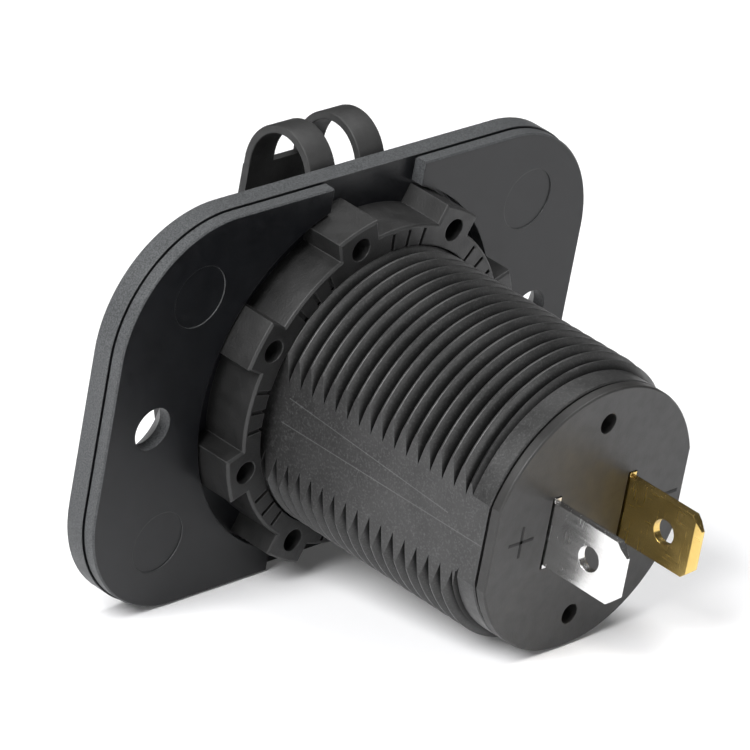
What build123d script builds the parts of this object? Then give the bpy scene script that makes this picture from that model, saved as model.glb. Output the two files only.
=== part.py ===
from build123d import *
import os

# Panel-mount twin USB charger socket with a soft dust cover, in millimetres.
# The origin is on the barrel axis at the rear face of the mounting panel.
# +X runs along the two panel screws, +Y towards the terminals, +Z up towards the cover's hinge.

# Mounting panel
PANEL_WIDTH = 60.0
PANEL_HEIGHT = 40.0
PANEL_CORNER_RADIUS = 12.2
PANEL_FRONT_BAND = 2.15
PANEL_REAR_BAND = 1.35
REAR_BAND_INSET = 0.17
PARTING_GROOVE_WIDTH = 0.15
PARTING_GROOVE_DEPTH = 0.2
PANEL_FRONT_BEVEL = 0.2
PANEL_REAR_BEVEL = 0.15
SCREW_INSET = 5.6
SCREW_HOLE_DIAMETER = 4.2
COUNTERSINK_DIAMETER = 8.6
CHANNEL_WIDTH = 11.8
EJECTOR_MARK_DIAMETER = 6.1
EJECTOR_MARK_DEPTH = 0.1
EJECTOR_SIDE_INSET = 8.85
EJECTOR_END_INSET = 7.45

# Threaded barrel, its flats, flange and bores
THREAD_DIAMETER = 28.0
THREAD_PITCH = 1.5
THREAD_DEPTH = 1.0
THREAD_CREST = 0.2
ACROSS_FLATS = 24.9
BAND_DIAMETER = 26.2
BAND_LENGTH = 2.1
THREAD_LEAD_IN = 0.8
BARREL_LENGTH = 29.85
FLANGE_OVERHANG = 2.2
FLANGE_THICKNESS = 2.3
FLANGE_BEVEL = 0.5
MOUTH_DIAMETER = 25.2
MOUTH_WALL = 1.4
MOUTH_DEPTH = 2.3
FRONT_BORE_DIAMETER = 21.2
REAR_BORE_DIAMETER = 22.8

# Ring nut
NUT_HEIGHT = 5.0
NUT_TAB_COUNT = 8
NUT_TAB_DIAMETER = 36.2
NUT_TAB_WIDTH = 4.8
NUT_ROOT_DIAMETER = 32.4
NUT_TAB_TURN = 18.5
NUT_EDGE_BEVEL = 0.2
SPANNER_HOLE_DIAMETER = 2.25
SPANNER_HOLE_DEPTH = 2.6
SPANNER_HOLE_CIRCLE = 32.0
GRIP_GROOVES_PER_GAP = 3
GRIP_GROOVE_SPREAD = 7.5
GRIP_GROOVE_WIDTH = 0.45
GRIP_GROOVE_DEPTH = 0.3
GRIP_GROOVE_RIM = 0.4

# End cap and blade terminals
CAP_RIM = 1.0
CAP_EDGE_BEVEL = 0.15
CAP_GROOVE_WIDTH = 0.3
CAP_GROOVE_DEPTH = 0.7
CAP_PLUG_LENGTH = 2.0
CAP_HOLE_DIAMETER = 2.0
CAP_HOLE_DEPTH = 1.8
CAP_HOLE_SPACING = 19.5
BLADE_SPACING = 9.84
BLADE_WIDTH = 6.3
BLADE_THICKNESS = 0.8
BLADE_LENGTH = 9.0
BLADE_TIP_CORNER = 1.2
BLADE_BEVEL_LENGTH = 0.7
BLADE_BEVEL_DEPTH = 0.22
BLADE_HOLE_DIAMETER = 2.4
BLADE_HOLE_FROM_TIP = 4.0
BLADE_ROOT_WIDTH = 7.1
BLADE_ROOT_PROUD = 0.1
BLADE_SHOULDER_WIDTH = 8.4
BLADE_TAIL_WIDTH = 2.4
BLADE_TAIL_PROUD = 1.0

# Dust cover: collar, strap loops and lid
COVER_RING_LIP = 0.4
COVER_RING_THICKNESS = 1.8
RING_LUG_RISE = 0.15
STRAP_WIDTH = 3.2
STRAP_PITCH = 6.35
STRAP_THICKNESS = 0.8
LOOP_INNER_WIDTH = 7.1
LOOP_LEG = 0.3
LOOP_ARCH_RISE = 4.9
LID_INSET = 0.2
LID_RIM = 0.7
LID_TAPER = 3.6
LID_LUG_RISE = 4.0
LID_PLUG_WALL = 1.5
LID_POCKET_DEPTH = 4.2
LID_DISH_RIM = 2.9
LID_DISH_DEPTH = 0.4
FINGER_TAB_WIDTH = 9.0
FINGER_TAB_REACH = 2.8
FINGER_TAB_THICKNESS = 1.6
FINGER_TAB_CORNER = 2.5

# Face insert, ports and indicator
INSERT_THICKNESS = 1.1
PORT_PITCH = 8.6
SHELL_WIDTH = 13.1
SHELL_HEIGHT = 5.7
SHELL_WALL = 0.3
SHELL_CORNER = 0.7
TONGUE_WIDTH = 10.6
TONGUE_THICKNESS = 1.85
TONGUE_LIFT = 0.75
TONGUE_SETBACK = 2.4
TONGUE_BASE_LENGTH = 3.0
CONTACT_COUNT = 4
CONTACT_PITCH = 2.25
CONTACT_WIDTH = 1.0
CONTACT_THICKNESS = 0.25
CONTACT_SETBACK = 0.8
INDICATOR_OFFSET = 8.6
LIGHT_PIPE_DIAMETER = 2.6
LIGHT_PIPE_COLLAR_DIAMETER = 3.4
LIGHT_PIPE_COLLAR = 0.8
LED_WIDTH = 2.0
LED_HEIGHT = 1.25
LED_THICKNESS = 0.8

# Boards and the power parts on them
PORT_BOARD_STATION = 8.0
CONVERTER_BOARD_STATION = 21.0
BOARD_THICKNESS = 1.2
LINK_PIN_SIZE = 0.64
LINK_PIN_PITCH = 2.54
LINK_PIN_COUNT = 5
LINK_PIN_EDGE = 1.9
COMPONENT_GAP = 0.5
INDUCTOR_SIZE = 7.0
INDUCTOR_HEIGHT = 4.2
INDUCTOR_CORNER = 1.6
INPUT_CAPACITOR_DIAMETER = 6.3
INPUT_CAPACITOR_LENGTH = 7.7
OUTPUT_CAPACITOR_DIAMETER = 5.0
OUTPUT_CAPACITOR_LENGTH = 5.8
CAPACITOR_CRIMP_WIDTH = 0.5
CAPACITOR_CRIMP_DEPTH = 0.3
CAPACITOR_CRIMP_STATION = 1.2
CHIP_WIDTH = 4.9
CHIP_LENGTH = 3.9
CHIP_HEIGHT = 1.5
CHIP_PLACE = 6.0
DIODE_WIDTH = 4.4
DIODE_LENGTH = 2.6
DIODE_HEIGHT = 2.1
DIODE_PLACE = -6.0

# Clearances
PANEL_HOLE_CLEARANCE = 0.15
NUT_BORE_CLEARANCE = 0.12
NUT_RECESS_CLEARANCE = 0.3
COVER_RING_CLEARANCE = 0.15
STRAP_CLEARANCE = 0.2
INSERT_CLEARANCE = 0.1
CAP_PLUG_CLEARANCE = 0.1
BLADE_SLOT_CLEARANCE = 0.1
BLADE_SLOT_GAP = 0.2
BOARD_CLEARANCE = 0.3
WINDOW_CLEARANCE = 0.1
BASE_CLEARANCE = 0.05
LIGHT_PIPE_CLEARANCE = 0.1
LID_GAP = 0.2
LID_PLUG_CLEARANCE = 0.5
LID_PLUG_END_CLEARANCE = 0.4

# Stations along the barrel axis
panel_parting = -PANEL_REAR_BAND
panel_front = panel_parting - PANEL_FRONT_BAND
ring_front = panel_front - COVER_RING_THICKNESS
flange_front = ring_front - FLANGE_THICKNESS
insert_front = flange_front + MOUTH_DEPTH
insert_rear = insert_front + INSERT_THICKNESS
nut_seat = panel_parting
nut_rear = nut_seat + NUT_HEIGHT
thread_end = BARREL_LENGTH - BAND_LENGTH
cap_front = BARREL_LENGTH + CAP_GROOVE_WIDTH
cap_rear = cap_front + CAP_RIM
cap_inner = BARREL_LENGTH - CAP_PLUG_LENGTH
blade_tip = cap_rear + BLADE_LENGTH
port_board_rear = PORT_BOARD_STATION + BOARD_THICKNESS
converter_board_rear = CONVERTER_BOARD_STATION + BOARD_THICKNESS
lid_rear = flange_front - LID_GAP
strap_rear = panel_front - STRAP_CLEARANCE
loop_centre = strap_rear - STRAP_THICKNESS - LOOP_INNER_WIDTH / 2
lid_front = loop_centre - LOOP_INNER_WIDTH / 2 - STRAP_THICKNESS

# Radii and places shared by pieces that fit
thread_radius = THREAD_DIAMETER / 2
mouth_radius = MOUTH_DIAMETER / 2
neck_radius = mouth_radius + MOUTH_WALL
flange_radius = neck_radius + FLANGE_OVERHANG
rear_bore_radius = REAR_BORE_DIAMETER / 2
nut_tab_radius = NUT_TAB_DIAMETER / 2
nut_bore_radius = thread_radius + NUT_BORE_CLEARANCE
plug_radius = mouth_radius - LID_PLUG_CLEARANCE
ring_bore_radius = neck_radius + COVER_RING_CLEARANCE
ring_radius = flange_radius + COVER_RING_LIP
ring_lug_top = ring_radius + RING_LUG_RISE
lid_radius = flange_radius - LID_INSET
lid_front_radius = lid_radius - LID_TAPER
lid_lug_top = lid_front_radius + LID_LUG_RISE
arch_height = ring_lug_top + LOOP_LEG
board_radius = rear_bore_radius - BOARD_CLEARANCE
strap_places = (-STRAP_PITCH / 2, STRAP_PITCH / 2)
screw_places = (SCREW_INSET - PANEL_WIDTH / 2, PANEL_WIDTH / 2 - SCREW_INSET)
blade_places = {"positive_terminal": BLADE_SPACING / 2, "negative_terminal": -BLADE_SPACING / 2}
port_heights = {"upper": PORT_PITCH / 2, "lower": -PORT_PITCH / 2}
component_row = BLADE_TAIL_WIDTH / 2 + COMPONENT_GAP


def run(sketch, y_from, y_to):
    """A section drawn with X and Z as its axes, run along the barrel axis."""
    section = Plane((0, y_from, 0), x_dir=(1, 0, 0), z_dir=(0, -1, 0)) * sketch
    return extrude(section, amount=y_from - y_to)


def turned(*points):
    """A profile of (radius, station) points, turned about the barrel axis."""
    return revolve(make_face(Polyline(*points, close=True)), axis=Axis.Y)


def double_d(radius, across):
    """A circle with two flats square to X."""
    return Circle(radius) & Rectangle(across, 2 * radius)


def slab(across, y_from, y_to):
    """The space between the barrel's two flats."""
    return run(Rectangle(across, THREAD_DIAMETER), y_from, y_to)


def edges_at(solid, station):
    """The edges that lie in one plane square to the barrel axis."""
    return solid.edges().filter_by_position(Axis.Y, station, station)


def make_mounting_panel():
    outline = RectangleRounded(PANEL_WIDTH, PANEL_HEIGHT, PANEL_CORNER_RADIUS)
    rear_outline = offset(outline, -REAR_BAND_INSET)
    groove_outline = offset(rear_outline, -PARTING_GROOVE_DEPTH)
    front_band = run(outline, panel_front, panel_parting)
    front_band = chamfer(edges_at(front_band, panel_front), PANEL_FRONT_BEVEL)
    rear_band = run(rear_outline, panel_parting, 0)
    rear_band = chamfer(edges_at(rear_band, 0), PANEL_REAR_BEVEL)
    groove_end = panel_parting + PARTING_GROOVE_WIDTH
    panel = front_band + rear_band - run(outline - groove_outline, panel_parting, groove_end)
    barrel_hole = double_d(thread_radius + PANEL_HOLE_CLEARANCE, ACROSS_FLATS + 2 * PANEL_HOLE_CLEARANCE)
    panel -= run(barrel_hole, panel_front, 0)
    recess = Circle(nut_tab_radius + NUT_RECESS_CLEARANCE) + Rectangle(CHANNEL_WIDTH, PANEL_HEIGHT)
    panel -= run(recess, nut_seat, 0)
    hole_radius = SCREW_HOLE_DIAMETER / 2
    sink_radius = COUNTERSINK_DIAMETER / 2
    sink_end = panel_front + sink_radius - hole_radius
    screw_hole = turned(
        (0, panel_front),
        (sink_radius, panel_front),
        (hole_radius, sink_end),
        (hole_radius, 0),
        (0, 0),
    )
    for place in screw_places:
        panel -= Pos(place, 0, 0) * screw_hole
    spacing_x = PANEL_WIDTH - 2 * EJECTOR_SIDE_INSET
    spacing_z = PANEL_HEIGHT - 2 * EJECTOR_END_INSET
    marks = Sketch() + GridLocations(spacing_x, spacing_z, 2, 2) * Circle(EJECTOR_MARK_DIAMETER / 2)
    return panel - run(marks, -EJECTOR_MARK_DEPTH, 0)


def make_thread_grooves():
    """The thread's V grooves as half turns, each of which runs from one flat to the other."""
    half_pitch = THREAD_PITCH / 2
    flank_slope = (half_pitch - THREAD_CREST / 2) / THREAD_DEPTH
    overrun = THREAD_CREST / 4 / flank_slope
    mouth = flank_slope * (THREAD_DEPTH + overrun)
    half_turn = Helix(THREAD_PITCH, half_pitch, thread_radius)
    start = Plane(half_turn @ 0, x_dir=(1, 0, 0), z_dir=half_turn % 0)
    outline = Polyline((-THREAD_DEPTH, 0), (overrun, mouth), (overrun, -mouth), close=True)
    groove = sweep(start * make_face(outline), path=half_turn, is_frenet=True)
    half_turns = int((thread_end - nut_seat) / half_pitch)
    grooves = []
    for place in range(1, half_turns):
        along = Pos(0, thread_end - place * half_pitch, 0)
        grooves.append(along * Rot(-90, 0, 0) * Rot(0, 0, 180 * (place - 1)) * groove)
    return grooves


def make_socket_body():
    band_radius = BAND_DIAMETER / 2
    barrel = turned(
        (0, panel_front),
        (thread_radius, panel_front),
        (thread_radius, thread_end - THREAD_LEAD_IN),
        (band_radius, thread_end),
        (band_radius, BARREL_LENGTH),
        (0, BARREL_LENGTH),
    )
    barrel &= slab(ACROSS_FLATS, panel_front, BARREL_LENGTH)
    barrel -= make_thread_grooves()
    flange = run(Circle(flange_radius), flange_front, ring_front)
    flange = chamfer(edges_at(flange, flange_front), FLANGE_BEVEL)
    neck = run(Circle(neck_radius), ring_front, panel_front)
    front_bore_radius = FRONT_BORE_DIAMETER / 2
    bore = turned(
        (0, flange_front),
        (mouth_radius, flange_front),
        (mouth_radius, insert_rear),
        (front_bore_radius, insert_rear),
        (front_bore_radius, PORT_BOARD_STATION),
        (rear_bore_radius, PORT_BOARD_STATION),
        (rear_bore_radius, BARREL_LENGTH),
        (0, BARREL_LENGTH),
    )
    return barrel + neck + flange - bore


def make_ring_nut():
    tab_step = 360 / NUT_TAB_COUNT
    outer = Circle(nut_tab_radius)
    tab_bar = Pos(nut_tab_radius / 2, 0) * Rectangle(nut_tab_radius, NUT_TAB_WIDTH)
    tab_angles = [90 - NUT_TAB_TURN - tab * tab_step for tab in range(NUT_TAB_COUNT)]
    tabs = Sketch() + [Rot(0, 0, angle) * tab_bar for angle in tab_angles]
    nut = run(Circle(NUT_ROOT_DIAMETER / 2) + (outer & tabs), nut_seat, nut_rear)
    nut = chamfer(edges_at(nut, nut_rear), NUT_EDGE_BEVEL)
    nut -= run(Circle(nut_bore_radius), nut_seat, nut_rear)
    groove_length = NUT_ROOT_DIAMETER / 2 - GRIP_GROOVE_RIM
    groove = Pos(groove_length / 2, 0) * Rectangle(groove_length, GRIP_GROOVE_WIDTH)
    hole = Pos(SPANNER_HOLE_CIRCLE / 2, 0) * Circle(SPANNER_HOLE_DIAMETER / 2)
    holes = []
    grooves = []
    for tab_angle in tab_angles:
        holes.append(Rot(0, 0, tab_angle) * hole)
        for place in range(GRIP_GROOVES_PER_GAP):
            turn = tab_step / 2 + (place - (GRIP_GROOVES_PER_GAP - 1) / 2) * GRIP_GROOVE_SPREAD
            grooves.append(Rot(0, 0, tab_angle - turn) * groove)
    nut -= run(Sketch() + grooves, nut_rear - GRIP_GROOVE_DEPTH, nut_rear)
    return nut - run(Sketch() + holes, nut_rear - SPANNER_HOLE_DEPTH, nut_rear)


def make_end_cap():
    rim_radius = BAND_DIAMETER / 2
    cap = run(double_d(rim_radius, ACROSS_FLATS), cap_front, cap_rear)
    cap = chamfer(edges_at(cap, cap_rear), CAP_EDGE_BEVEL)
    groove_bottom = double_d(rim_radius - CAP_GROOVE_DEPTH, ACROSS_FLATS - 2 * CAP_GROOVE_DEPTH)
    cap += run(groove_bottom, BARREL_LENGTH, cap_front)
    cap += run(Circle(rear_bore_radius - CAP_PLUG_CLEARANCE), cap_inner, BARREL_LENGTH)
    holes = Sketch() + GridLocations(0, CAP_HOLE_SPACING, 1, 2) * Circle(CAP_HOLE_DIAMETER / 2)
    cap -= run(holes, cap_rear - CAP_HOLE_DEPTH, cap_rear)
    slot_width = BLADE_THICKNESS + BLADE_SLOT_CLEARANCE + BLADE_SLOT_GAP
    slot = Rectangle(slot_width, BLADE_ROOT_WIDTH + 2 * BLADE_SLOT_CLEARANCE)
    slot_shift = (BLADE_SLOT_GAP - BLADE_SLOT_CLEARANCE) / 2
    for place in blade_places.values():
        cap -= run(Pos(place + slot_shift, 0) * slot, cap_inner, cap_rear)
    return cap


def blade_length_of(y_from, y_to, width):
    """A straight length of blade in the plane of its width."""
    return Pos((y_from + y_to) / 2, 0) * Rectangle(y_to - y_from, width)


def make_terminal(place):
    half_width = BLADE_WIDTH / 2
    corner_start = blade_tip - BLADE_TIP_CORNER
    tip_half_width = half_width - BLADE_TIP_CORNER
    tip = make_face(
        Polyline(
            (cap_rear, -half_width),
            (corner_start, -half_width),
            (blade_tip, -tip_half_width),
            (blade_tip, tip_half_width),
            (corner_start, half_width),
            (cap_rear, half_width),
            close=True,
        )
    )
    tail_end = CONVERTER_BOARD_STATION - BLADE_TAIL_PROUD
    outline = tip + blade_length_of(cap_inner, cap_rear + BLADE_ROOT_PROUD, BLADE_ROOT_WIDTH)
    outline += blade_length_of(converter_board_rear, cap_inner, BLADE_SHOULDER_WIDTH)
    outline += blade_length_of(tail_end, converter_board_rear, BLADE_TAIL_WIDTH)
    outline -= Pos(blade_tip - BLADE_HOLE_FROM_TIP, 0) * Circle(BLADE_HOLE_DIAMETER / 2)
    blade = extrude(Plane.YZ * outline, amount=BLADE_THICKNESS / 2, both=True)
    half_thickness = BLADE_THICKNESS / 2
    bevel_start = blade_tip - BLADE_BEVEL_LENGTH
    wedge = make_face(
        Polyline(
            (-half_thickness, tail_end),
            (half_thickness, tail_end),
            (half_thickness, bevel_start),
            (half_thickness - BLADE_BEVEL_DEPTH, blade_tip),
            (BLADE_BEVEL_DEPTH - half_thickness, blade_tip),
            (-half_thickness, bevel_start),
            close=True,
        )
    )
    return Pos(place, 0, 0) * (blade & extrude(wedge, amount=BLADE_SHOULDER_WIDTH, both=True))


def make_cover_ring():
    ring = run(Circle(ring_radius) - Circle(ring_bore_radius), ring_front, panel_front)
    lug_height = ring_lug_top - ring_bore_radius
    lug = Pos(0, ring_lug_top - lug_height / 2) * Rectangle(STRAP_WIDTH, lug_height)
    for place in strap_places:
        ring += run(Pos(place, 0) * lug, strap_rear - STRAP_THICKNESS, strap_rear)
    return ring


def make_hinge_straps():
    inner_half = LOOP_INNER_WIDTH / 2
    outer_half = inner_half + STRAP_THICKNESS
    arch = Ellipse(outer_half, LOOP_ARCH_RISE) - Ellipse(inner_half, LOOP_ARCH_RISE - STRAP_THICKNESS)
    arch &= Pos(0, LOOP_ARCH_RISE / 2) * Rectangle(2 * outer_half, LOOP_ARCH_RISE)
    leg_offset = inner_half + STRAP_THICKNESS / 2
    loop = Pos(loop_centre, arch_height) * arch
    for side, foot in ((1, ring_lug_top), (-1, lid_lug_top)):
        leg_length = arch_height - foot
        leg = Rectangle(STRAP_THICKNESS, leg_length)
        loop += Pos(loop_centre + side * leg_offset, foot + leg_length / 2) * leg
    strap = extrude(Plane.YZ * loop, amount=STRAP_WIDTH / 2, both=True)
    return [Pos(place, 0, 0) * strap for place in strap_places]


def make_dust_cap():
    plug_end = insert_front - LID_PLUG_END_CLEARANCE
    pocket_radius = plug_radius - LID_PLUG_WALL
    pocket_floor = plug_end - LID_POCKET_DEPTH
    dish_radius = lid_front_radius - LID_DISH_RIM
    lid = turned(
        (0, pocket_floor),
        (pocket_radius, pocket_floor),
        (pocket_radius, plug_end),
        (plug_radius, plug_end),
        (plug_radius, lid_rear),
        (lid_radius, lid_rear),
        (lid_radius, lid_rear - LID_RIM),
        (lid_front_radius, lid_front),
        (dish_radius, lid_front),
        (dish_radius - LID_DISH_DEPTH, lid_front + LID_DISH_DEPTH),
        (0, lid_front + LID_DISH_DEPTH),
    )
    lug_height = lid_lug_top - dish_radius
    lug = Pos(0, lid_lug_top - lug_height / 2) * Rectangle(STRAP_PITCH + STRAP_WIDTH, lug_height)
    lid += run(lug, lid_front, lid_front + STRAP_THICKNESS)
    tab_length = lid_radius + FINGER_TAB_REACH - plug_radius
    tab = Rectangle(FINGER_TAB_WIDTH, tab_length)
    tab = fillet(tab.vertices().group_by(Axis.Y)[0], FINGER_TAB_CORNER)
    tab = Pos(0, -plug_radius - tab_length / 2) * tab
    return lid + run(tab, lid_rear - FINGER_TAB_THICKNESS, lid_rear)


def make_face_insert():
    insert = run(Circle(mouth_radius - INSERT_CLEARANCE), insert_front, insert_rear)
    window = offset(RectangleRounded(SHELL_WIDTH, SHELL_HEIGHT, SHELL_CORNER), WINDOW_CLEARANCE)
    for height in port_heights.values():
        insert -= run(Pos(0, height) * window, insert_front, insert_rear)
    pipe_hole = Pos(INDICATOR_OFFSET, 0) * Circle(LIGHT_PIPE_DIAMETER / 2 + LIGHT_PIPE_CLEARANCE)
    return insert - run(pipe_hole, insert_front, insert_rear)


def make_usb_shell(height):
    outside = RectangleRounded(SHELL_WIDTH, SHELL_HEIGHT, SHELL_CORNER)
    inside = offset(outside, -SHELL_WALL)
    return run(Pos(0, height) * (outside - inside), insert_front, PORT_BOARD_STATION)


def make_usb_contacts(height):
    strip_top = height + TONGUE_LIFT - TONGUE_THICKNESS / 2 + CONTACT_THICKNESS / 2
    places = GridLocations(CONTACT_PITCH, 0, CONTACT_COUNT, 1)
    strips = Sketch() + places * Rectangle(CONTACT_WIDTH, CONTACT_THICKNESS)
    strip_start = insert_front + TONGUE_SETBACK + CONTACT_SETBACK
    return run(Pos(0, strip_top - CONTACT_THICKNESS / 2) * strips, strip_start, PORT_BOARD_STATION)


def make_usb_tongue(height):
    inset = SHELL_WALL + BASE_CLEARANCE
    base = RectangleRounded(SHELL_WIDTH - 2 * inset, SHELL_HEIGHT - 2 * inset, SHELL_CORNER - SHELL_WALL)
    base_start = PORT_BOARD_STATION - TONGUE_BASE_LENGTH
    tongue = run(Pos(0, height) * base, base_start, PORT_BOARD_STATION)
    blade = Pos(0, height + TONGUE_LIFT) * Rectangle(TONGUE_WIDTH, TONGUE_THICKNESS)
    tongue += run(blade, insert_front + TONGUE_SETBACK, base_start)
    return tongue - make_usb_contacts(height)


def make_port_board():
    return run(Circle(board_radius), PORT_BOARD_STATION, port_board_rear)


def make_converter_board():
    board = run(Circle(board_radius), CONVERTER_BOARD_STATION, converter_board_rear)
    slot_width = BLADE_THICKNESS + 2 * BLADE_SLOT_CLEARANCE
    slot = Rectangle(slot_width, BLADE_TAIL_WIDTH + 2 * BLADE_SLOT_CLEARANCE)
    for place in blade_places.values():
        board -= run(Pos(place, 0) * slot, CONVERTER_BOARD_STATION, converter_board_rear)
    return board


def make_link_pins():
    places = GridLocations(LINK_PIN_PITCH, 0, LINK_PIN_COUNT, 1)
    pins = Sketch() + places * Rectangle(LINK_PIN_SIZE, LINK_PIN_SIZE)
    return run(Pos(0, LINK_PIN_EDGE - board_radius) * pins, port_board_rear, CONVERTER_BOARD_STATION)


def make_indicator_led():
    body = Pos(INDICATOR_OFFSET, 0) * Rectangle(LED_HEIGHT, LED_WIDTH)
    return run(body, PORT_BOARD_STATION - LED_THICKNESS, PORT_BOARD_STATION)


def make_light_pipe():
    place = Pos(INDICATOR_OFFSET, 0)
    pipe = run(place * Circle(LIGHT_PIPE_DIAMETER / 2), insert_front, PORT_BOARD_STATION - LED_THICKNESS)
    collar = place * Circle(LIGHT_PIPE_COLLAR_DIAMETER / 2)
    return pipe + run(collar, insert_rear, insert_rear + LIGHT_PIPE_COLLAR)


def make_power_inductor():
    place = Pos(-(INDUCTOR_SIZE + COMPONENT_GAP) / 2, component_row + INDUCTOR_SIZE / 2)
    body = place * RectangleRounded(INDUCTOR_SIZE, INDUCTOR_SIZE, INDUCTOR_CORNER)
    return run(body, CONVERTER_BOARD_STATION - INDUCTOR_HEIGHT, CONVERTER_BOARD_STATION)


def make_capacitor(diameter, length, side):
    """A can capacitor, crimped round near its foot, beside the board's centre on one diagonal."""
    radius = diameter / 2
    crimp_end = CONVERTER_BOARD_STATION - CAPACITOR_CRIMP_STATION
    crimp_start = crimp_end - CAPACITOR_CRIMP_WIDTH
    crimp_radius = radius - CAPACITOR_CRIMP_DEPTH
    top = CONVERTER_BOARD_STATION - length
    can = turned(
        (0, top),
        (radius, top),
        (radius, crimp_start),
        (crimp_radius, (crimp_start + crimp_end) / 2),
        (radius, crimp_end),
        (radius, CONVERTER_BOARD_STATION),
        (0, CONVERTER_BOARD_STATION),
    )
    return Pos(side * (radius + COMPONENT_GAP / 2), 0, side * (component_row + radius)) * can


def make_rear_component(width, length, height, place):
    """A flat component on the rear side of the converter board."""
    body = Pos(0, place) * Rectangle(width, length)
    return run(body, converter_board_rear, converter_board_rear + height)


nodes = {
    "mounting_panel": make_mounting_panel(),
    "socket_body": make_socket_body(),
    "ring_nut": make_ring_nut(),
    "end_cap": make_end_cap(),
    "cover_ring": make_cover_ring(),
    "hinge_straps": Compound(children=make_hinge_straps()),
    "dust_cap": make_dust_cap(),
    "face_insert": make_face_insert(),
    "port_board": make_port_board(),
    "converter_board": make_converter_board(),
    "link_pins": make_link_pins(),
    "indicator_led": make_indicator_led(),
    "light_pipe": make_light_pipe(),
    "power_inductor": make_power_inductor(),
    "input_capacitor": make_capacitor(INPUT_CAPACITOR_DIAMETER, INPUT_CAPACITOR_LENGTH, 1),
    "output_capacitor": make_capacitor(OUTPUT_CAPACITOR_DIAMETER, OUTPUT_CAPACITOR_LENGTH, -1),
    "controller_chip": make_rear_component(CHIP_WIDTH, CHIP_LENGTH, CHIP_HEIGHT, CHIP_PLACE),
    "rectifier_diode": make_rear_component(DIODE_WIDTH, DIODE_LENGTH, DIODE_HEIGHT, DIODE_PLACE),
}
for name, place in blade_places.items():
    nodes[name] = make_terminal(place)
for level, height in port_heights.items():
    nodes[level + "_usb_shell"] = make_usb_shell(height)
    nodes[level + "_usb_tongue"] = make_usb_tongue(height)
    nodes[level + "_usb_contacts"] = make_usb_contacts(height)

os.makedirs("parts", exist_ok=True)
for name, solid in nodes.items():
    export_step(solid, os.path.join("parts", name + ".step"))
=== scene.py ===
import math

import bmesh
import bpy
from mathutils import Matrix, Vector


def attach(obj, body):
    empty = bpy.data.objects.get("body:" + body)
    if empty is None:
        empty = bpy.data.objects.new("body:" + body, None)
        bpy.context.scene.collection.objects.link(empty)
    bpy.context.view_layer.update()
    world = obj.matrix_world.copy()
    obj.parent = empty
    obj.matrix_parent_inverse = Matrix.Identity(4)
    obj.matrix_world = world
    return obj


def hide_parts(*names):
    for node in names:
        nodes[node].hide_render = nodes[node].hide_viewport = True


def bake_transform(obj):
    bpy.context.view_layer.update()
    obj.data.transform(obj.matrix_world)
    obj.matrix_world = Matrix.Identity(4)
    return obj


# Looks of a panel-mount twin charger socket. Lengths named here are in millimetres of the part's frame.
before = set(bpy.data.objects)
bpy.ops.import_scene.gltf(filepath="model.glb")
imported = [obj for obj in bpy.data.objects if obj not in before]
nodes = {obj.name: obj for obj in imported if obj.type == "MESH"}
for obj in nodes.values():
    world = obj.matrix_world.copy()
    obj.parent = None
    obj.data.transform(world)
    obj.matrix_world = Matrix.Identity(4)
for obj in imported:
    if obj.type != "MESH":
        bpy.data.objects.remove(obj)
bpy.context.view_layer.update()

MM = 0.001

# Threaded barrel, as the frame has it
THREAD_RADIUS = 14.0
THREAD_PITCH = 1.5
THREAD_DEPTH = 1.0
THREAD_CREST = 0.2
THREAD_CREST_SOFTNESS = 0.05
THREAD_START = -1.35
THREAD_END = 27.75
THREAD_LEAD_IN = 0.8
THREAD_FADE = 1.0
HALF_ACROSS_FLATS = 12.45
BAND_RADIUS = 13.1
BARREL_END = 29.85
NECK_RADIUS = 14.0
NECK_END = -3.5
FLANGE_RADIUS = 16.2
FLANGE_FRONT = -7.6
FLANGE_REAR = -5.3
FLANGE_ROUND = 0.5
MOUTH_RADIUS = 12.6
MOUTH_FLOOR = -4.2
FRONT_BORE_RADIUS = 10.6
FRONT_BORE_END = 8.0
REAR_BORE_RADIUS = 11.4
EDGE_ROUND = 0.12

# Steps of the barrel's mesh: on the flat and the round stretch of a quarter turn, and on the flange's edge
FLAT_STEPS = 3
ROUND_STEPS = 26
FLANGE_ROUND_STEPS = 5
# Phases of the thread's rows, in pitches from the middle of a groove to a crest, closest where it turns
GROOVE_PHASES = (0.0, 0.02, 0.08, 0.2, 0.32, 0.4, 0.43, 0.45, 0.47)
CREST_PHASE = 0.5
BARREL_SHARP_ANGLE = 42.0

# Strap loops of the dust cover
STRAP_PLACES = (-3.175, 3.175)
STRAP_WIDTH = 3.2
STRAP_THICKNESS = 0.8
STRAP_EDGE_ROUND = 0.14
LOOP_INNER_HALF = 3.55
LOOP_CENTRE_Y = -8.05
ARCH_FOOT_Z = 17.05
ARCH_RISE = 4.9
REAR_FOOT_Z = 16.75
FRONT_FOOT_Z = 16.4
ARCH_STEPS = 48
STRAP_EDGE_STEPS = 4

# Hair lines left by the mould on the +X flat, as (station, height) ends
WITNESS_LINES = (((4.85, 2.5), (25.35, 1.15)), ((4.35, -0.16), (29.8, -0.04)))
WITNESS_WIDTH = 0.07
WITNESS_SHARE = 0.4
WITNESS_LEVEL = 0.10
# A point this near a flat's plane counts as on the flat
FLAT_MARGIN = 0.02
# Painted shade: the grooves darken from this depth below the crest
GROOVE_SHADE_START = 0.15
GROOVE_SHADE_SHARE = 0.92

# Polarity signs on the end cap, as (x, z) of their middles
CAP_REAR = 31.15
PLUS_PLACE = (8.8, 0.05)
MINUS_PLACE = (-10.1, -0.1)
SIGN_LENGTH = 3.2
SIGN_WIDTH = 0.34
SIGN_PROUD = 0.012

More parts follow.
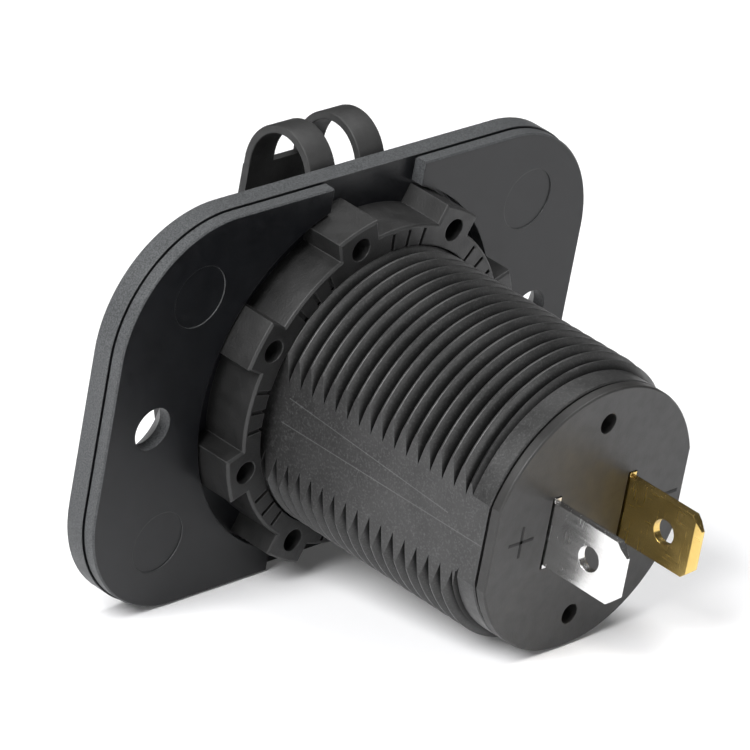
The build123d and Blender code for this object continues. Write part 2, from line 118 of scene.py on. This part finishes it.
# Camera: where the photograph was taken from
CAMERA_PLACE = (412.34, 352.39, 278.06)
CAMERA_RIGHT = Vector((-0.699, 0.6959, 0.1644))
CAMERA_DOWN = Vector((0.2231, 0.4307, -0.8745))
CAMERA_LENS = 320.25
SENSOR_WIDTH = 36.0
CLIP_START = 10.0

# Floor: the socket leans on the panel's lower edge and the end cap's rim
FLOOR_TILT = 12.2
FLOOR_PLACE = (0.0, 0.0, -19.9)
FLOOR_SIZE = 6000.0
# What the camera and reflections see of the floor glows more with the distance from the object
GLOW_NEAR = 90.0
GLOW_FAR = 320.0
GLOW_LEAST = 0.06
GLOW_MOST = 1.0

# White of the background, and light that comes from all round as a share of it
WHITE = (1.0, 1.0, 1.0, 1.0)
AMBIENT = 0.07

# Lamps as (name, place, aim, (width, height), watts)
LAMPS = (
    ("key_left", (330, 20, 300), (0, 10, 0), (260, 220), 3.2),
    ("fill_right", (-40, 420, 160), (0, 15, 0), (300, 240), 0.45),
    ("top", (-120, 0, 430), (0, 10, 0), (340, 260), 1.7),
)

# Metals, each as its clean and its stained colour
PLATING = ((0.80, 0.80, 0.79, 1), (0.70, 0.69, 0.68, 1))
BRASS = ((0.70, 0.50, 0.17, 1), (0.56, 0.39, 0.12, 1))
STEEL = ((0.62, 0.62, 0.63, 1), (0.48, 0.48, 0.50, 1))
GOLD = ((0.83, 0.60, 0.22, 1), (0.70, 0.48, 0.16, 1))
TIN = ((0.66, 0.65, 0.63, 1), (0.52, 0.51, 0.50, 1))

# Mesh points nearer than this, in metres, are one, and a face whose normal has this much X is a flat
MERGE_DISTANCE = 1e-7
FLAT_NORMAL = 0.9999


def mesh_piece(name, vertices, faces, body, sharp_angle=35.0):
    """A mesh piece in the part's frame that rides on a body. A flat's border is sharp at any angle."""
    mesh = bpy.data.meshes.new(name)
    mesh.from_pydata([Vector(v) * MM for v in vertices], [], faces)
    shape = bmesh.new()
    shape.from_mesh(mesh)
    bmesh.ops.remove_doubles(shape, verts=shape.verts, dist=MERGE_DISTANCE)
    shape.normal_update()
    for face in shape.faces:
        face.smooth = True
    for edge in shape.edges:
        if len(edge.link_faces) == 2:
            flats = [abs(face.normal.x) > FLAT_NORMAL for face in edge.link_faces]
            edge.smooth = flats[0] == flats[1] and edge.calc_face_angle(0) < math.radians(sharp_angle)
    shape.to_mesh(mesh)
    shape.free()
    mesh.validate()
    piece = bpy.data.objects.new(name, mesh)
    bpy.context.scene.collection.objects.link(piece)
    if body:
        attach(piece, body)
    return piece


def grid_faces(rows, columns):
    """Quads between the rows of a grid, where the last column meets the first."""
    faces = []
    for row in range(rows - 1):
        here = row * columns
        there = here + columns
        for column in range(columns):
            beside = (column + 1) % columns
            faces.append((here + column, here + beside, there + beside, there + column))
    return faces


# Barrel with its interrupted thread

def thread_radius_at(station, phase):
    """Radius of the threaded barrel at a station, at a phase in pitches from the middle of a groove."""
    from_groove = abs((phase + 0.5) % 1 - 0.5) * THREAD_PITCH
    depth = 1 - from_groove / (THREAD_PITCH / 2 - THREAD_CREST / 2)
    depth = (depth + math.hypot(depth, THREAD_CREST_SOFTNESS)) / 2
    fade_in = min(max((station - THREAD_START) / THREAD_FADE, 0), 1)
    radius = THREAD_RADIUS - THREAD_DEPTH * min(depth, 1) * fade_in
    slope = (THREAD_RADIUS - BAND_RADIUS) / THREAD_LEAD_IN
    return min(radius, BAND_RADIUS + slope * (THREAD_END - station))


def ring_turns(radii):
    """Turns about the axis, with one on each border of the flats, where the quarters have these radii."""
    turns = []
    for quarter in range(4):
        border = math.degrees(math.acos(HALF_ACROSS_FLATS / radii[quarter]))
        ups = [border * step / FLAT_STEPS for step in range(FLAT_STEPS)]
        ups += [border + (90 - border) * step / ROUND_STEPS for step in range(ROUND_STEPS + 1)]
        if quarter % 2:
            ups = [90 - up for up in reversed(ups)]
        turns += [90 * quarter + up for up in ups[:-1]]
    return turns


def ring_point(station, radius, turn, flats):
    """A point at a turn in degrees from +X towards -Z, held between the flats where asked."""
    x = radius * math.cos(math.radians(turn))
    if flats:
        x = min(max(x, -HALF_ACROSS_FLATS), HALF_ACROSS_FLATS)
    return (x, station, -radius * math.sin(math.radians(turn)))


def front_rings():
    """(station, radius, flats) of the rings from the mouth over the flange to the thread's start."""
    rings = [(FLANGE_FRONT, MOUTH_RADIUS, False), (FLANGE_FRONT, FLANGE_RADIUS - FLANGE_ROUND, False)]
    for step in range(1, FLANGE_ROUND_STEPS + 1):
        angle = math.radians(90 * step / FLANGE_ROUND_STEPS)
        station = FLANGE_FRONT + FLANGE_ROUND * (1 - math.cos(angle))
        rings.append((station, FLANGE_RADIUS - FLANGE_ROUND * (1 - math.sin(angle)), False))
    rings += [(FLANGE_REAR, FLANGE_RADIUS, False), (FLANGE_REAR, NECK_RADIUS, False)]
    rings += [(NECK_END, NECK_RADIUS, False), (NECK_END, THREAD_RADIUS, True)]
    return rings + [(THREAD_START, THREAD_RADIUS, True)]


def rear_rings():
    """(station, radius, flats) of the rings from the thread's end through the bores back to the mouth."""
    rings = [(THREAD_END, BAND_RADIUS, True), (BARREL_END - EDGE_ROUND, BAND_RADIUS, True)]
    rings += [(BARREL_END, BAND_RADIUS - EDGE_ROUND, True), (BARREL_END, REAR_BORE_RADIUS, False)]
    rings += [(FRONT_BORE_END, REAR_BORE_RADIUS, False), (FRONT_BORE_END, FRONT_BORE_RADIUS, False)]
    rings += [(MOUTH_FLOOR, FRONT_BORE_RADIUS, False), (MOUTH_FLOOR, MOUTH_RADIUS, False)]
    return rings + [(FLANGE_FRONT, MOUTH_RADIUS, False)]


def add_rings(rings, vertices, faces):
    """Adds a turned surface through rings."""
    first = len(vertices)
    for station, radius, flats in rings:
        turns = ring_turns([radius if flats else THREAD_RADIUS] * 4)
        vertices += [ring_point(station, radius, turn, flats) for turn in turns]
    ring_faces = grid_faces(len(rings), len(turns))
    faces += [tuple(first + corner for corner in face) for face in ring_faces]


def add_thread(vertices, faces):
    """Adds the thread, in rows that climb one pitch in a turn, each at one phase of the groove."""
    falling = tuple(1 - phase for phase in reversed(GROOVE_PHASES[1:]))
    phases = GROOVE_PHASES + (CREST_PHASE,) + falling
    base = THREAD_END - THREAD_PITCH / 2
    first_pitch = math.floor((THREAD_START - base) / THREAD_PITCH) - 1
    last_pitch = math.ceil((THREAD_END - base) / THREAD_PITCH) + 1
    rows = [pitch + phase for pitch in range(first_pitch, last_pitch) for phase in phases]

    def place(row, turn):
        station = base + THREAD_PITCH * (row + turn / 360)
        station = min(max(station, THREAD_START), THREAD_END)
        return station, BAND_RADIUS if station == THREAD_END else thread_radius_at(station, row)

    first = len(vertices)
    for row in rows:
        turns = ring_turns([place(row, 90 * (quarter + quarter % 2))[1] for quarter in range(4)])
        vertices += [ring_point(*place(row, turn), turn, True) for turn in turns]
    columns = len(turns)
    for row in range(len(rows) - 1):
        for column in range(columns):
            beside, climb = (column + 1, 0) if column + 1 < columns else (0, len(phases))
            if row + 1 + climb < len(rows):
                near, far = first + row * columns, first + (row + climb) * columns
                corners = (near + column, far + beside, far + columns + beside, near + columns + column)
                if len({vertices[corner][1] for corner in corners}) > 1:
                    faces.append(corners)


def make_barrel():
    """The flange, the thread and the bores as one mesh."""
    vertices = []
    faces = []
    add_rings(front_rings(), vertices, faces)
    add_thread(vertices, faces)
    add_rings(rear_rings(), vertices, faces)
    barrel = mesh_piece("threaded_barrel", vertices, faces, "socket", sharp_angle=BARREL_SHARP_ANGLE)
    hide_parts("socket_body")
    return barrel


# Straps

def strap_path():
    """(y, z, outward direction) along a strap's middle line, from the rear foot to the front foot."""
    half = LOOP_INNER_HALF + STRAP_THICKNESS / 2
    rise = ARCH_RISE - STRAP_THICKNESS / 2
    path = [(LOOP_CENTRE_Y + half, REAR_FOOT_Z, 0.0)]
    for step in range(ARCH_STEPS + 1):
        angle = math.pi * step / ARCH_STEPS
        y = LOOP_CENTRE_Y + half * math.cos(angle)
        z = ARCH_FOOT_Z + rise * math.sin(angle)
        path.append((y, z, math.atan2(math.sin(angle) / rise, math.cos(angle) / half)))
    path.append((LOOP_CENTRE_Y - half, FRONT_FOOT_Z, math.pi))
    return path


def strap_section():
    """(x, outward) points round a strap's section, a bar with round edges."""
    half_width = STRAP_WIDTH / 2 - STRAP_EDGE_ROUND
    half_thickness = STRAP_THICKNESS / 2 - STRAP_EDGE_ROUND
    points = []
    for quarter, (across, out) in enumerate(((1, 1), (-1, 1), (-1, -1), (1, -1))):
        for step in range(STRAP_EDGE_STEPS + 1):
            angle = math.radians(90 * (quarter + step / STRAP_EDGE_STEPS))
            x = across * half_width + STRAP_EDGE_ROUND * math.cos(angle)
            points.append((x, out * half_thickness + STRAP_EDGE_ROUND * math.sin(angle)))
    return points


def make_straps():
    """Both straps as one mesh, arched between the socket and the lid."""
    vertices = []
    faces = []
    section = strap_section()
    path = strap_path()
    for place in STRAP_PLACES:
        first = len(vertices)
        for y, z, angle in path:
            for x, out in section:
                vertices.append((place + x, y + out * math.cos(angle), z + out * math.sin(angle)))
        strap_faces = grid_faces(len(path), len(section))
        faces += [tuple(first + corner for corner in face) for face in strap_faces]
        last = first + (len(path) - 1) * len(section)
        faces.append(tuple(first + corner for corner in range(len(section))))
        faces.append(tuple(last + corner for corner in reversed(range(len(section)))))
    straps = mesh_piece("cover_straps", vertices, faces, None)
    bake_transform(straps)
    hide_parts("hinge_straps")
    return straps


# Polarity signs

def make_sign(name, place, bars):
    """Thin bars on the end cap's face, as (length along x, length along z)."""
    vertices = []
    faces = []
    for across, up in bars:
        first = len(vertices)
        for y in (CAP_REAR, CAP_REAR + SIGN_PROUD):
            for x, z in ((-1, -1), (1, -1), (1, 1), (-1, 1)):
                vertices.append((place[0] + x * across / 2, y, place[1] + z * up / 2))
        box = ((0, 1, 2, 3), (7, 6, 5, 4), (0, 4, 5, 1), (1, 5, 6, 2), (2, 6, 7, 3), (3, 7, 4, 0))
        faces += [tuple(first + corner for corner in face) for face in box]
    return mesh_piece(name, vertices, faces, "socket")


# Materials

class Material:
    """A procedural material and short ways to add its nodes."""

    def __init__(self, name):
        self.material = bpy.data.materials.new(name)
        self.material.use_nodes = True
        self.tree = self.material.node_tree
        self.shader = self.tree.nodes["Principled BSDF"]
        self.place = self.add("ShaderNodeTexCoord").outputs["Object"]

    def add(self, kind, inputs=(), **settings):
        node = self.tree.nodes.new(kind)
        for key, value in settings.items():
            setattr(node, key, value)
        for key, value in dict(inputs).items():
            self.put(node.inputs[key], value)
        return node

    def put(self, socket, value):
        if isinstance(value, bpy.types.NodeSocket):
            self.tree.links.new(value, socket)
        else:
            socket.default_value = value

    def math(self, operation, first, second=0.0):
        return self.add("ShaderNodeMath", {0: first, 1: second}, operation=operation).outputs[0]

    def noise(self, size, detail=2.0, stretch=(1.0, 1.0, 1.0), turn=0.0):
        """Noise whose features are about size millimetres across, drawn out by stretch."""
        scale = tuple(1 / (size * MM * share) for share in stretch)
        inputs = {"Vector": self.place, "Scale": scale, "Rotation": (turn, 0, 0)}
        mapping = self.add("ShaderNodeMapping", inputs)
        inputs = {"Vector": mapping.outputs[0], "Scale": 1.0, "Detail": detail}
        return self.add("ShaderNodeTexNoise", inputs).outputs["Fac"]

    def ramp(self, value, low, high, to_low=0.0, to_high=1.0):
        inputs = {"Value": value, "From Min": low, "From Max": high, "To Min": to_low, "To Max": to_high}
        return self.add("ShaderNodeMapRange", inputs, interpolation_type="SMOOTHSTEP").outputs["Result"]

    def mix(self, share, first, second):
        node = self.add("ShaderNodeMix", data_type="RGBA")
        for key, value in (("Factor_Float", share), ("A_Color", first), ("B_Color", second)):
            socket = next(s for s in node.inputs if s.identifier == key)
            self.put(socket, value)
        return next(s for s in node.outputs if s.identifier == "Result_Color")

    def mottled(self, size, dark, light):
        """A colour that wanders between two in patches of about size millimetres."""
        return self.mix(self.ramp(self.noise(size), 0.3, 0.7), dark, light)

    def specks(self, size):
        """1 on scattered specks."""
        return self.ramp(self.noise(size, detail=3.0), 0.66, 0.74)

    def uneven(self, size, low, high, detail=3.0):
        """A roughness that wanders between two in patches of about size millimetres."""
        return self.ramp(self.noise(size, detail=detail), 0.25, 0.75, low, high)

    def vector_math(self, operation, first, second=(0.0, 0.0, 0.0)):
        inputs = {0: first, 1: second}
        return self.add("ShaderNodeVectorMath", inputs, operation=operation).outputs["Value"]

    def soft_normal(self, size, samples=6):
        """The normal with edges rounded by size millimetres."""
        return self.add("ShaderNodeBevel", {"Radius": size * MM}, samples=samples).outputs["Normal"]

    def edges(self, size, low, high):
        """1 on edges that a round of size millimetres would soften."""
        true = self.add("ShaderNodeNewGeometry").outputs["Normal"]
        likeness = self.vector_math("DOT_PRODUCT", self.soft_normal(size), true)
        return self.ramp(self.math("SUBTRACT", 1.0, likeness), low, high)

    def bump(self, height, depth, normal=None):
        """The normal over bumps of depth millimetres."""
        inputs = {"Height": height, "Distance": depth * MM, "Strength": 1.0}
        if normal:
            inputs["Normal"] = normal
        return self.add("ShaderNodeBump", inputs).outputs["Normal"]

    def finish(self, colour, roughness, normal=None, constants=()):
        self.put(self.shader.inputs["Base Color"], colour)
        self.put(self.shader.inputs["Roughness"], roughness)
        if normal:
            self.put(self.shader.inputs["Normal"], normal)
        for key, value in dict(constants).items():
            self.shader.inputs[key].default_value = value
        return self.material


def grey(level, warm=0.0):
    """A grey, a little warm or, below 0, a little cold."""
    return (level * (1 + warm), level, level * (1 - warm), 1.0)


def moulded_plastic(name, level, roughness, grain, depth, worn=None, edge=0.12, warm=0.0):
    """Black moulded plastic with a fine grain, faint mottling and, where asked, lighter worn edges."""
    m = Material(name)
    colour = m.mottled(5.0, grey(level * 0.82, warm), grey(level * 1.15, warm))
    speck = m.math("MULTIPLY", m.specks(0.35), 0.35)
    colour = m.mix(speck, colour, grey(min(level * 2.6, 0.9), warm))
    if worn:
        rubbed = m.math("MULTIPLY", m.edges(edge, 0.02, 0.3), 0.8)
        colour = m.mix(rubbed, colour, grey(worn, warm))
    rough = m.uneven(1.3, roughness - 0.05, roughness + 0.07)
    return m.finish(colour, rough, m.bump(m.noise(grain), depth, normal=m.soft_normal(edge)))


def panel_plastic():
    """Black plastic of the panel: a smooth rear face painted dark as shade, and a grained wall and front
    painted lighter as lit.
    """
    m = Material("panel_plastic")
    edge = 0.12
    normal = m.add("ShaderNodeTexCoord").outputs["Normal"]
    rearward = m.add("ShaderNodeSeparateXYZ", {0: normal}).outputs["Y"]
    # Lit and shaded copies of one plastic: painted shade on the rear face, painted light on the wall and
    # front
    lit_wall = m.ramp(rearward, 0.95, 0.6)
    shaded_face_tone = m.mottled(4.0, (0.0022, 0.0025, 0.0034, 1), (0.0036, 0.0040, 0.0052, 1))
    grain = m.noise(0.15, detail=3.0)
    lit_wall_tone = m.mix(m.ramp(grain, 0.3, 0.72), grey(0.034, -0.04), grey(0.080, -0.04))
    colour = m.mix(lit_wall, shaded_face_tone, lit_wall_tone)
    colour = m.mix(m.math("MULTIPLY", m.specks(0.32), 0.2), colour, grey(0.03))
    # Painted highlight: lighter along the panel's edges
    colour = m.mix(m.math("MULTIPLY", m.edges(edge, 0.03, 0.3), 0.6), colour, grey(0.06))
    rough = m.math("ADD", m.uneven(1.3, 0.28, 0.37), m.math("MULTIPLY", lit_wall, 0.16))
    bumps = m.bump(grain, 0.012, normal=m.soft_normal(edge, samples=4))
    return m.finish(colour, rough, bumps, {"Specular IOR Level": 0.3})


def witness_line(m, place, start, end):
    """1 on a hair line along the +X flat, between two (station, height) points in millimetres."""
    slope = (end[1] - start[1]) / (end[0] - start[0])
    height = m.math("MULTIPLY_ADD", place["Y"], slope)
    height.node.inputs[2].default_value = (start[1] - slope * start[0]) * MM
    away = m.math("ABSOLUTE", m.math("SUBTRACT", place["Z"], height))
    line = m.ramp(away, WITNESS_WIDTH * MM, WITNESS_WIDTH * MM / 2)
    inside = m.math("MULTIPLY", m.math("GREATER_THAN", place["Y"], start[0] * MM),
                    m.math("LESS_THAN", place["Y"], end[0] * MM))
    on_flat = m.math("GREATER_THAN", place["X"], (HALF_ACROSS_FLATS - FLAT_MARGIN) * MM)
    return m.math("MULTIPLY", line, m.math("MULTIPLY", inside, on_flat))


def groove_shade(m, place):
    """Share of painted shade: 0 on a thread's crest and off the thread, rising to 1 at the bottom of a
    groove.
    """
    across = m.add("ShaderNodeCombineXYZ", {0: place["X"], 2: place["Z"]}).outputs[0]
    radius = m.vector_math("LENGTH", across)
    rim = (THREAD_RADIUS - GROOVE_SHADE_START) * MM
    shade = m.ramp(radius, rim, (THREAD_RADIUS - THREAD_DEPTH) * MM)
    from_middle = m.math("ABSOLUTE", place["X"])
    off_flat = m.math("LESS_THAN", from_middle, (HALF_ACROSS_FLATS - FLAT_MARGIN) * MM)
    in_thread = m.math("LESS_THAN", place["Y"], THREAD_END * MM)
    return m.math("MULTIPLY", shade, m.math("MULTIPLY", off_flat, in_thread))


def barrel_plastic():
    """Dull black plastic of the barrel, darker in the grooves with painted shade, with two thin parting lines
    on a flat.
    """
    m = Material("barrel_plastic")
    place = m.add("ShaderNodeSeparateXYZ", {0: m.place}).outputs
    grain = m.noise(0.19, detail=3.0)
    colour = m.mottled(4.0, grey(0.014), grey(0.021))
    colour = m.mix(m.ramp(grain, 0.45, 0.8), colour, grey(0.046))
    # Painted shade in the grooves, which also dims their reflections
    shade = groove_shade(m, place)
    colour = m.mix(m.math("MULTIPLY", shade, GROOVE_SHADE_SHARE), colour, grey(0.0015))
    for start, end in WITNESS_LINES:
        line = m.math("MULTIPLY", witness_line(m, place, start, end), WITNESS_SHARE)
        colour = m.mix(line, colour, grey(WITNESS_LEVEL))
    m.put(m.shader.inputs["Specular IOR Level"], m.ramp(shade, 0.0, 1.0, 0.5, 0.1))
    return m.finish(colour, m.uneven(1.1, 0.33, 0.45), m.bump(grain, 0.009))


def rubber(name, level):
    """Soft black rubber with a fine grain."""
    m = Material(name)
    colour = m.mottled(3.0, grey(level * 0.85), grey(level * 1.15))
    rough = m.uneven(1.0, 0.52, 0.66, detail=2.0)
    return m.finish(colour, rough, m.bump(m.noise(0.22, detail=3.0), 0.015))


def plated_metal(name, tones, roughness):
    """Thin sheet metal with rolling marks along the blade and fine scratches across them."""
    m = Material(name)
    rolling = m.noise(0.3, stretch=(1.0, 10.0, 1.0))
    scratches = m.ramp(m.noise(0.14, stretch=(1.0, 1.0, 24.0), turn=0.5), 0.66, 0.74)
    colour = m.mix(m.ramp(m.noise(2.5, detail=3.0), 0.35, 0.75), *tones)
    rough = m.ramp(rolling, 0.2, 0.8, roughness - 0.03, roughness + 0.04)
    rough = m.math("ADD", rough, m.math("MULTIPLY", scratches, 0.1))
    height = m.math("ADD", m.math("MULTIPLY", rolling, 0.4), m.math("MULTIPLY", scratches, 0.6))
    bumps = m.bump(height, 0.0005, normal=m.soft_normal(0.08))
    return m.finish(colour, rough, bumps, {"Metallic": 1.0})


def circuit_board():
    """Green board with a faint weave."""
    m = Material("circuit_board")
    weave = m.noise(0.4, detail=1.0, stretch=(6.0, 1.0, 1.0))
    colour = m.mix(m.ramp(weave, 0.3, 0.7), (0.010, 0.075, 0.030, 1), (0.016, 0.105, 0.045, 1))
    return m.finish(colour, m.ramp(m.noise(2.0), 0.3, 0.7, 0.3, 0.42), m.bump(weave, 0.01))


def clear_plastic():
    """Hazy clear plastic of the light pipe."""
    m = Material("light_pipe")
    haze = m.ramp(m.noise(0.8), 0.3, 0.7, 0.12, 0.25)
    tone = m.mix(m.noise(1.5), (0.80, 0.84, 0.88, 1), (0.92, 0.95, 0.98, 1))
    return m.finish(tone, haze, None, {"IOR": 1.49, "Transmission Weight": 0.85})


def dress():
    """Makes the added pieces and gives every piece its material."""
    panel = panel_plastic()
    nut = moulded_plastic("nut_plastic", level=0.008, roughness=0.48, grain=0.2, depth=0.02,
                          worn=0.06, edge=0.16)
    cap = moulded_plastic("cap_plastic", level=0.013, roughness=0.44, grain=0.16, depth=0.012,
                          worn=0.07, edge=0.12, warm=0.03)
    gloss = moulded_plastic("gloss_plastic", level=0.016, roughness=0.22, grain=0.2, depth=0.003)
    board = circuit_board()
    plated = plated_metal("plated_blade", PLATING, roughness=0.22)
    brass = plated_metal("brass_blade", BRASS, roughness=0.24)
    steel = plated_metal("shell_steel", STEEL, roughness=0.3)
    gold = plated_metal("contact_gold", GOLD, roughness=0.25)
    tin = plated_metal("tinned_copper", TIN, roughness=0.35)
    cover = rubber("cover_rubber", 0.014)
    looks = {
        "mounting_panel": panel,
        "ring_nut": nut,
        "end_cap": cap,
        "positive_terminal": plated,
        "negative_terminal": brass,
        "cover_ring": cover,
        "dust_cap": cover,
        "face_insert": gloss,
        "port_board": board,
        "converter_board": board,
        "link_pins": tin,
        "power_inductor": moulded_plastic("ferrite", level=0.045, roughness=0.6, grain=0.1, depth=0.01),
        "input_capacitor": steel,
        "output_capacitor": steel,
        "controller_chip": moulded_plastic("chip_epoxy", level=0.02, roughness=0.55, grain=0.1, depth=0.006),
        "rectifier_diode": moulded_plastic("diode_epoxy", level=0.022, roughness=0.5, grain=0.1, depth=0.006),
        "indicator_led": moulded_plastic("led_resin", level=0.6, roughness=0.35, grain=0.2, depth=0.004),
        "light_pipe": clear_plastic(),
    }
    for port in ("upper", "lower"):
        looks[port + "_usb_shell"] = steel
        looks[port + "_usb_contacts"] = gold
        tongue = moulded_plastic(port + "_tongue_plastic", level=0.62, roughness=0.4, grain=0.2, depth=0.004)
        looks[port + "_usb_tongue"] = tongue
    for name, material in looks.items():
        paint(nodes[name], material)
    paint(make_barrel(), barrel_plastic())
    paint(make_straps(), cover)
    # Painted shade: the polarity signs' grooves are drawn as near-black bars on the cap
    painted_sign_shade = moulded_plastic("sign_groove_shade", level=0.002, roughness=0.7, grain=0.1, depth=0.004)
    level_bar = (SIGN_LENGTH, SIGN_WIDTH)
    upright_bar = (SIGN_WIDTH, SIGN_LENGTH)
    paint(make_sign("sign_plus", PLUS_PLACE, (level_bar, upright_bar)), painted_sign_shade)
    paint(make_sign("sign_minus", MINUS_PLACE, (level_bar,)), painted_sign_shade)


def paint(piece, material):
    """Leaves a piece with this material alone."""
    piece.data.materials.clear()
    piece.data.materials.append(material)


# Stage

def floor_material():
    """Pale floor that the camera and reflections see as near white, with the object's shadow on it."""
    m = Material("floor_white")
    tone = m.mix(m.noise(400.0), (0.86, 0.86, 0.87, 1), (0.88, 0.88, 0.89, 1))
    path = m.add("ShaderNodeLightPath").outputs
    seen = m.math("MAXIMUM", path["Is Glossy Ray"], path["Is Transmission Ray"])
    seen = m.math("MAXIMUM", path["Is Camera Ray"], seen)
    away = m.vector_math("LENGTH", m.place)
    glow = m.ramp(away, GLOW_NEAR * MM, GLOW_FAR * MM, GLOW_LEAST, GLOW_MOST)
    m.put(m.shader.inputs["Emission Strength"], m.math("MULTIPLY", seen, glow))
    return m.finish(tone, 0.9, None, {"Specular IOR Level": 0.0, "Emission Color": WHITE})


def make_floor():
    """A wide floor, tilted so that the socket lies on it."""
    half = FLOOR_SIZE / 2
    corners = [(-half, -half, 0), (half, -half, 0), (half, half, 0), (-half, half, 0)]
    floor = mesh_piece("floor", corners, [(0, 1, 2, 3)], None)
    floor.rotation_euler = (math.radians(FLOOR_TILT), 0, 0)
    floor.location = Vector(FLOOR_PLACE) * MM
    floor.data.materials.append(floor_material())


def make_world():
    """White to the camera, and a weak light from all round."""
    world = bpy.data.worlds.new("studio")
    bpy.context.scene.world = world
    world.use_nodes = True
    tree = world.node_tree
    background = tree.nodes["Background"]
    background.inputs["Color"].default_value = WHITE
    seen = tree.nodes.new("ShaderNodeLightPath").outputs["Is Camera Ray"]
    strength = tree.nodes.new("ShaderNodeMapRange")
    strength.inputs["To Min"].default_value = AMBIENT
    tree.links.new(seen, strength.inputs["Value"])
    tree.links.new(strength.outputs["Result"], background.inputs["Strength"])


def make_light(name, place, aim, size, power):
    """A rectangular lamp that faces its aim."""
    lamp = bpy.data.lights.new(name, "AREA")
    lamp.shape = "RECTANGLE"
    lamp.size = size[0] * MM
    lamp.size_y = size[1] * MM
    lamp.energy = power
    light = bpy.data.objects.new(name, lamp)
    light.location = Vector(place) * MM
    light.rotation_euler = (Vector(aim) - Vector(place)).to_track_quat("-Z", "Y").to_euler()
    bpy.context.scene.collection.objects.link(light)


def make_camera():
    """The camera, turned by its right and down directions."""
    camera = bpy.data.objects.new("camera", bpy.data.cameras.new("camera"))
    up = -CAMERA_DOWN
    back = CAMERA_RIGHT.cross(up)
    axes = Matrix((CAMERA_RIGHT, up, back)).transposed()
    camera.matrix_world = Matrix.Translation(Vector(CAMERA_PLACE) * MM) @ axes.to_4x4()
    camera.data.lens = CAMERA_LENS
    camera.data.sensor_width = SENSOR_WIDTH
    camera.data.clip_start = CLIP_START * MM
    bpy.context.scene.collection.objects.link(camera)
    bpy.context.scene.camera = camera


dress()
make_floor()
make_world()
for lamp in LAMPS:
    make_light(*lamp)
make_camera()
bpy.context.scene.view_settings.view_transform = "Standard"
